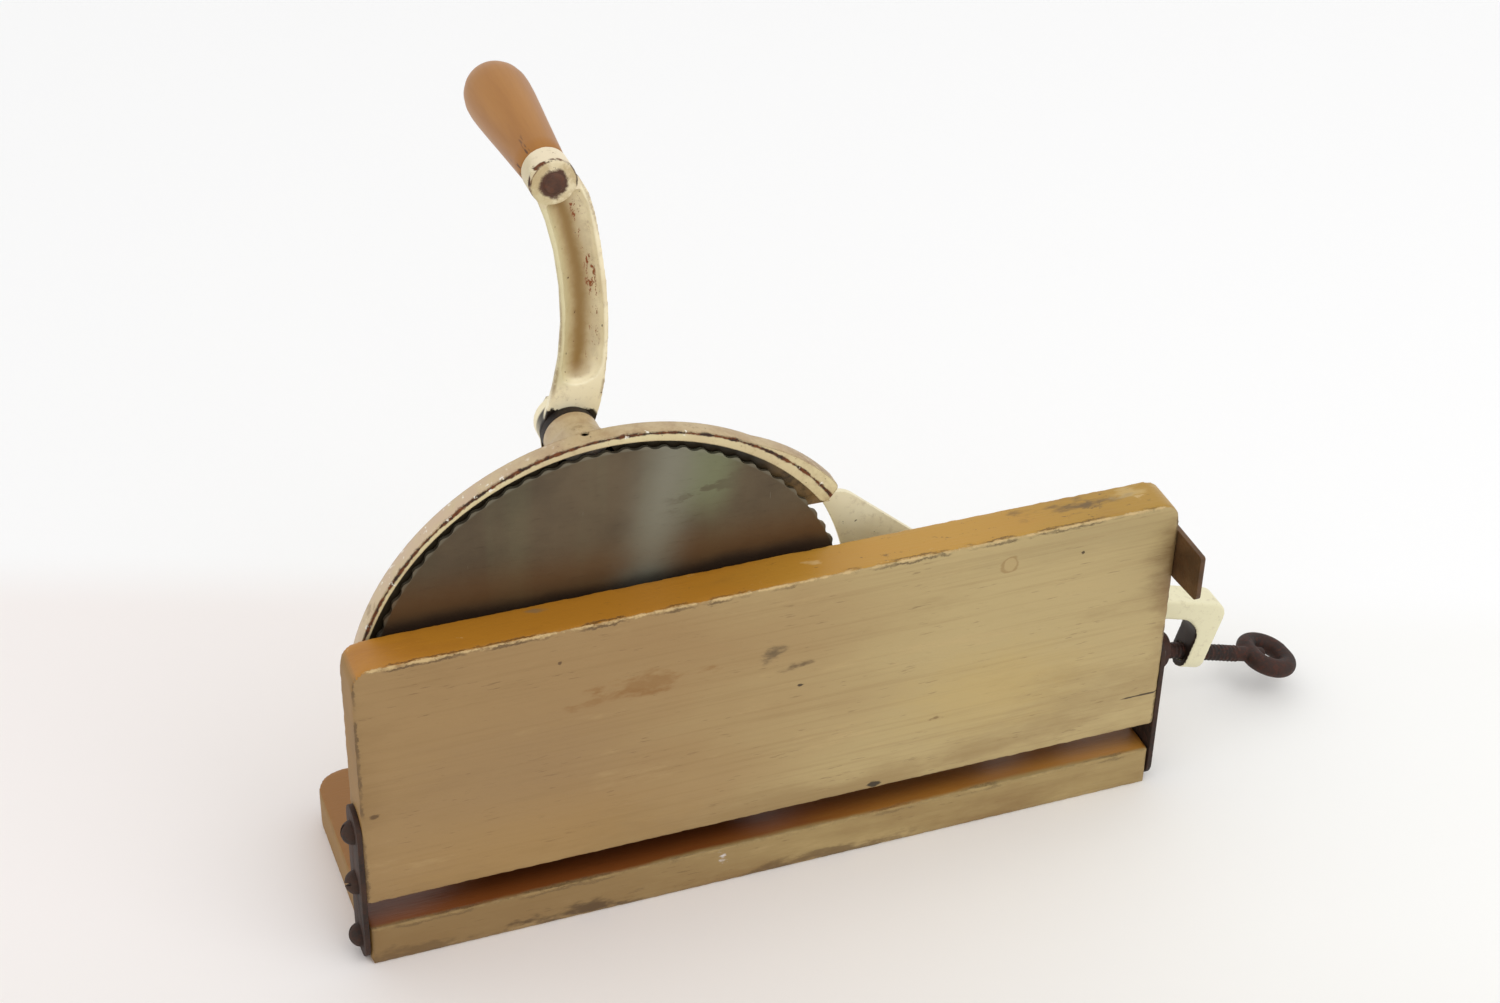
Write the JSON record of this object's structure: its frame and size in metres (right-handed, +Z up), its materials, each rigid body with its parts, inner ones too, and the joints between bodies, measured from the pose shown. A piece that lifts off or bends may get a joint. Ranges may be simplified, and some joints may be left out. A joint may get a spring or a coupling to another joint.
{
  "type": "hand crank bread slicer",
  "caption": "Hand cranked bread slicer with a geared round blade, a fold-down wooden bread tray, an adjustable stop plate and a swing-down table clamp.",
  "frame": {"origin": "centre of the base board's underside, on the table", "axes": "+X right along the boards, +Y to the back, away from the tray, +Z up"},
  "size_m": [0.4272, 0.1509, 0.3094],
  "materials": {
    "board_wood": "worn varnished softwood",
    "enamelled_casting": "cream enamel, chipped and grimy",
    "browned_steel": "rusty brown flat steel",
    "blade_steel": "dull grey-brown tarnished steel",
    "gear_iron": "oiled cast iron",
    "dark_steel": "darkened turned steel",
    "handle_wood": "orange-brown glossy lacquer over turned wood",
    "enamelled_sheet": "cream enamelled steel sheet"
  },
  "bodies": {
    "base_frame": {"base_board": "board_wood", "blade_housing": "enamelled_casting", "foot_screws": "dark_steel", "blade_axle": "dark_steel", "axle_nut": "dark_steel", "tray_pivot_screws": "browned_steel", "stop_studs": "dark_steel", "stop_washers": "dark_steel", "clamp_bracket": "dark_steel", "bracket_screws": "dark_steel", "clamp_pivot_bolt": "dark_steel", "clamp_pivot_nut": "dark_steel"},
    "tray": {"tray_board": "board_wood", "tray_strip_left": "browned_steel", "tray_strip_right": "browned_steel", "tray_strip_screws": "browned_steel", "tray_hook": "browned_steel", "hook_screws": "browned_steel"},
    "blade_wheel": {"blade": "blade_steel", "blade_gear": "gear_iron", "gear_rivets": "dark_steel"},
    "crank": {"crank_shaft": "dark_steel", "crank_pinion": "gear_iron", "crank_washer": "dark_steel", "crank_arm": "enamelled_casting", "crank_nut": "dark_steel", "handle_spindle": "dark_steel"},
    "grip": {"handle": "handle_wood"},
    "stop": {"stop_plate": "enamelled_sheet"},
    "left_wing_nut": {"wing_nut_left": "dark_steel"},
    "right_wing_nut": {"wing_nut_right": "dark_steel"},
    "clamp": {"clamp_arm": "enamelled_casting"},
    "pad": {"clamp_pad": "browned_steel"},
    "screw": {"clamp_screw": "browned_steel"}
  },
  "joints": [
    {"name": "tray_fold", "type": "hinge", "parent": "base_frame", "child": "tray", "pos_m": [0, -0.039, 0.009], "axis": [1, 0, 0], "range_deg": [0, 90]},
    {"name": "blade_spin", "type": "hinge", "parent": "base_frame", "child": "blade_wheel", "pos_m": [-0.0596, -0.02, 0.1036], "axis": [0, 1, 0], "continuous": true},
    {"name": "crank_spin", "type": "hinge", "parent": "base_frame", "child": "crank", "pos_m": [-0.06809, 0, 0.1942], "axis": [0, 1, 0], "continuous": true},
    {"name": "handle_spin", "type": "hinge", "parent": "crank", "child": "grip", "pos_m": [-0.07119, 0.05, 0.29706], "axis": [0, 1, 0], "continuous": true},
    {"name": "stop_slide", "type": "slide", "parent": "base_frame", "child": "stop", "axis": [0, 1, 0], "range_m": [-0.0095, 0.006]},
    {"name": "left_wing_nut_turn", "type": "hinge", "parent": "base_frame", "child": "left_wing_nut", "pos_m": [0.029, 0.004, 0.026], "axis": [0, 0, 1], "range_deg": [0, 720]},
    {"name": "right_wing_nut_turn", "type": "hinge", "parent": "base_frame", "child": "right_wing_nut", "pos_m": [0.085, 0.004, 0.026], "axis": [0, 0, 1], "range_deg": [0, 720]},
    {"name": "clamp_swing", "type": "hinge", "parent": "base_frame", "child": "clamp", "pos_m": [0.131, -0.005, 0.031], "axis": [0, 1, 0], "range_deg": [-15, 73]},
    {"name": "pad_slide", "type": "slide", "parent": "clamp", "child": "pad", "axis": [0.9563, 0, -0.2924], "range_m": [-0.0218, 0.004]},
    {"name": "clamp_screw_turn", "type": "hinge", "parent": "pad", "child": "screw", "pos_m": [0.18705, -0.005, 0.03237], "axis": [0.9563, 0, -0.2924], "range_deg": [-3930, 725]}
  ],
  "couplings": [
    {"joint": "crank_spin", "follows": "blade_spin", "ratio": -9.4},
    {"joint": "clamp_screw_turn", "follows": "pad_slide", "rad_per_m": 3141.6}
  ]
}
